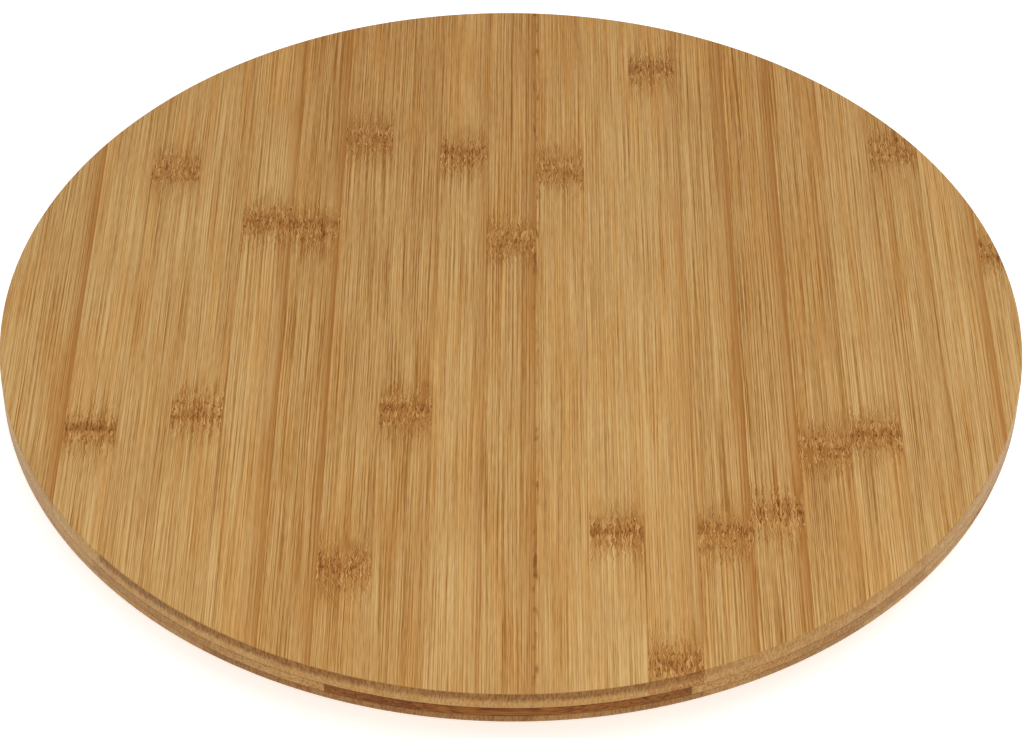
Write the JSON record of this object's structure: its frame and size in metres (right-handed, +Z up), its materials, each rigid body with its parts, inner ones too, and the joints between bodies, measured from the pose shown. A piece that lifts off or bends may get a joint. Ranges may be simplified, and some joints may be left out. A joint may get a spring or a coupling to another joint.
{
  "type": "lazy susan turntable",
  "caption": "Round bamboo lazy susan: a wide layered board that spins on a square stamped-steel ball bearing above a smaller round bamboo base with rubber feet",
  "frame": {"origin": "Centre of the circle of feet, on the surface that the turntable stands on, below the spindle axis", "axes": "+Z is up, along the axis that the board spins about; Y runs along the grain of the board's face at rest; the access hole in the base board is on +X"},
  "size_m": [0.4, 0.4, 0.04],
  "materials": {
    "bamboo": "strip-laminated caramel bamboo, satin oil finish",
    "zinc_plated_steel": "bright zinc plating",
    "bearing_steel": "polished",
    "nylon": "natural moulded nylon",
    "screw_steel": "zinc-plated",
    "rubber": "moulded matt rubber"
  },
  "bodies": {
    "base": {"base_board_back_ply": "bamboo", "base_board_core_ply": "bamboo", "base_board_face_ply": "bamboo", "lower_bearing_plate": "zinc_plated_steel", "lower_plate_screws": "screw_steel", "foot_1": "rubber", "foot_2": "rubber", "foot_3": "rubber", "foot_4": "rubber", "foot_5": "rubber", "foot_6": "rubber", "foot_washers": "screw_steel", "foot_screws": "screw_steel"},
    "turntable": {"top_board_back_ply": "bamboo", "top_board_core_ply": "bamboo", "top_board_face_ply": "bamboo", "upper_bearing_plate": "zinc_plated_steel", "upper_plate_screws": "screw_steel"},
    "ball_ring": {"bearing_balls": "bearing_steel", "ball_cage": "nylon"}
  },
  "joints": [
    {"name": "turntable_spin", "type": "hinge", "parent": "base", "child": "turntable", "pos_m": [0, 0, 0.018], "axis": [0, 0, 1], "continuous": true},
    {"name": "ball_ring_orbit", "type": "hinge", "parent": "base", "child": "ball_ring", "pos_m": [0, 0, 0.018], "axis": [0, 0, 1], "continuous": true}
  ],
  "couplings": [
    {"joint": "ball_ring_orbit", "follows": "turntable_spin", "ratio": 0.5}
  ]
}
